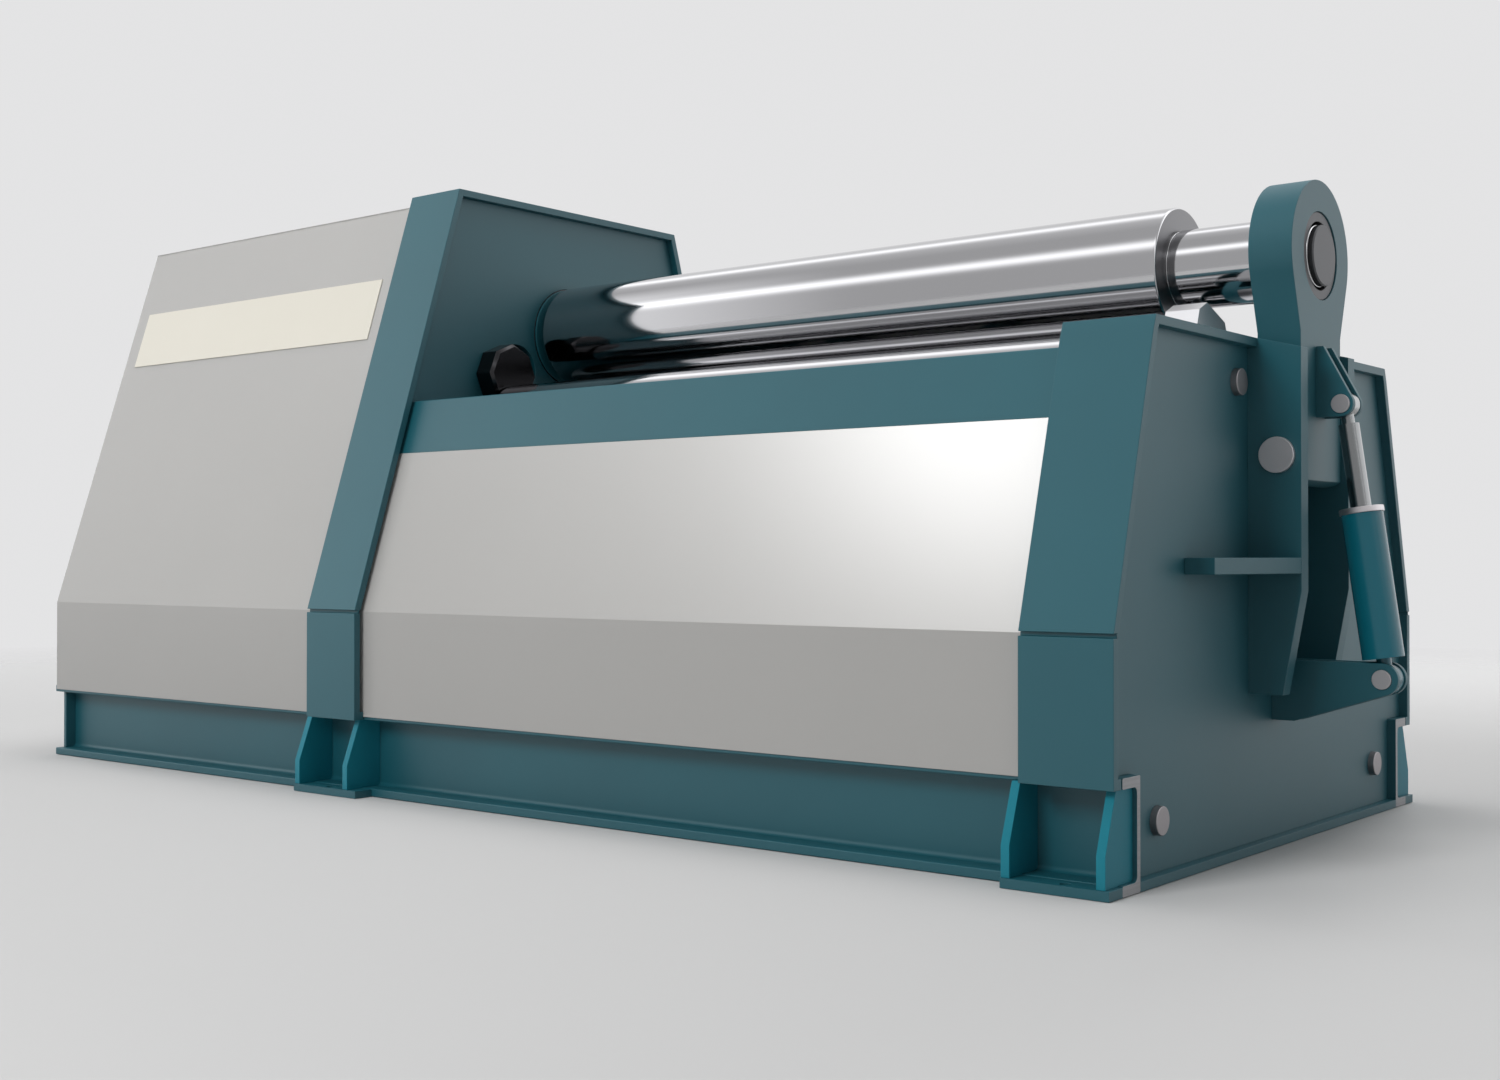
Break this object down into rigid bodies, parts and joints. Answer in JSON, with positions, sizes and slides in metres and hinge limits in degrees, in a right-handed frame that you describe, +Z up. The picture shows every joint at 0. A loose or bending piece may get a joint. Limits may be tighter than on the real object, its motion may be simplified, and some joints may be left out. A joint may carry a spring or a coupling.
{
  "type": "plate rolling machine",
  "caption": "Hydraulic four-roll plate bending machine: drive cabinet, two stands, top, bottom and side rolls, and a drop end that tilts open.",
  "frame": {"origin": "on the floor, under the middle of the machine's overall box", "axes": "+X along the rolls towards the drop end, +Y to the rear, +Z up"},
  "size_m": [4.1469, 1.74, 1.726],
  "materials": {
    "teal_paint": "satin two-pack enamel",
    "grey_paint": "satin powder coat",
    "cream_paint": "satin enamel on sheet",
    "dark_paint": "satin enamel",
    "light_paint": "textured powder coat",
    "cast_housing": "painted casting",
    "machined_steel": "turned",
    "polished_roll_steel": "ground and polished forged steel",
    "block_steel": "ground",
    "bronze": "machined bronze",
    "cylinder_paint": "gloss enamel",
    "plated_rod": "hard chrome plated"
  },
  "bodies": {
    "frame": {"front_base_beam": "teal_paint", "rear_base_beam": "teal_paint", "base_cross_members": "teal_paint", "base_gussets": "teal_paint", "sole_plates": "teal_paint", "left_stand_inner_plate": "teal_paint", "left_stand_drive_plate": "teal_paint", "left_stand_rim": "teal_paint", "right_stand_inner_plate": "teal_paint", "right_stand_end_plate": "teal_paint", "right_stand_rim": "teal_paint", "stand_lower_bands": "teal_paint", "block_guides": "teal_paint", "stand_pins": "machined_steel", "front_panel": "grey_paint", "rear_panel": "grey_paint", "front_top_cover": "teal_paint", "rear_top_cover": "teal_paint", "cabinet_front_panel": "grey_paint", "cabinet_rear_panel": "grey_paint", "cabinet_top_panel": "grey_paint", "cabinet_end_panel": "grey_paint", "cabinet_frame": "dark_paint", "label_plate": "cream_paint", "top_roll_left_bearing": "bronze", "top_gearbox": "cast_housing", "top_motor": "cast_housing", "oil_tank": "dark_paint", "pump_set": "cast_housing", "valve_block": "machined_steel", "electrical_box": "light_paint", "front_side_cylinders": "cylinder_paint", "rear_side_cylinders": "cylinder_paint", "bottom_cylinders": "cylinder_paint", "yoke_cheeks": "teal_paint", "cheek_ribs": "teal_paint", "yoke_pivot_pin": "machined_steel", "drop_cylinder_bracket": "teal_paint", "drop_cylinder_base_pin": "machined_steel"},
    "top_roll_assembly": {"top_roll": "polished_roll_steel"},
    "bottom_lift": {"bottom_bearing_blocks": "block_steel", "bottom_bearing_bushes": "bronze", "bottom_piston_rods": "plated_rod", "bottom_drive": "cast_housing"},
    "bottom_roll_assembly": {"bottom_roll": "polished_roll_steel"},
    "front_lift": {"front_bearing_blocks": "block_steel", "front_bearing_bushes": "bronze", "front_piston_rods": "plated_rod"},
    "front_roll_assembly": {"front_side_roll": "polished_roll_steel"},
    "rear_lift": {"rear_bearing_blocks": "block_steel", "rear_bearing_bushes": "bronze", "rear_piston_rods": "plated_rod"},
    "rear_roll_assembly": {"rear_side_roll": "polished_roll_steel"},
    "drop_end": {"yoke": "teal_paint", "yoke_bearing": "machined_steel", "yoke_lugs": "teal_paint", "rod_pin_ends": "machined_steel"},
    "drop_barrel": {"drop_cylinder_barrel": "cylinder_paint", "drop_cylinder_gland": "machined_steel"},
    "drop_rod": {"drop_cylinder_rod": "plated_rod"}
  },
  "joints": [
    {"name": "top_roll_spin", "type": "hinge", "parent": "frame", "child": "top_roll_assembly", "pos_m": [0, 0, 1.338], "axis": [1, 0, 0], "continuous": true},
    {"name": "bottom_roll_lift", "type": "slide", "parent": "frame", "child": "bottom_lift", "axis": [0, 0, 1], "range_m": [-0.09, 0.01]},
    {"name": "bottom_roll_spin", "type": "hinge", "parent": "bottom_lift", "child": "bottom_roll_assembly", "pos_m": [0, 0, 1.046], "axis": [1, 0, 0], "continuous": true},
    {"name": "front_roll_lift", "type": "slide", "parent": "frame", "child": "front_lift", "axis": [0, 0.3417, 0.9398], "range_m": [-0.1, 0.15]},
    {"name": "front_roll_spin", "type": "hinge", "parent": "front_lift", "child": "front_roll_assembly", "pos_m": [0, -0.29, 1.038], "axis": [1, 0, 0], "continuous": true},
    {"name": "rear_roll_lift", "type": "slide", "parent": "frame", "child": "rear_lift", "axis": [0, -0.3417, 0.9398], "range_m": [-0.1, 0.15]},
    {"name": "rear_roll_spin", "type": "hinge", "parent": "rear_lift", "child": "rear_roll_assembly", "pos_m": [0, 0.29, 1.038], "axis": [1, 0, 0], "continuous": true},
    {"name": "drop_end_tilt", "type": "hinge", "parent": "frame", "child": "drop_end", "pos_m": [1.8555, 0, 0.881], "axis": [0, 1, 0], "range_deg": [0, 80]},
    {"name": "drop_cylinder_swing", "type": "hinge", "parent": "frame", "child": "drop_barrel", "pos_m": [2.0365, 0, 0.387], "axis": [0, 1, 0], "range_deg": [0, 1.58]},
    {"name": "drop_rod_slide", "type": "slide", "parent": "drop_barrel", "child": "drop_rod", "axis": [-0.1441, 0, 0.9896], "range_m": [-0.19082, 0]}
  ],
  "couplings": [
    {"joint": "drop_cylinder_swing", "follows": "drop_end_tilt", "ratio": 0.0198},
    {"joint": "drop_rod_slide", "follows": "drop_end_tilt", "m_per_rad": -0.13666}
  ]
}
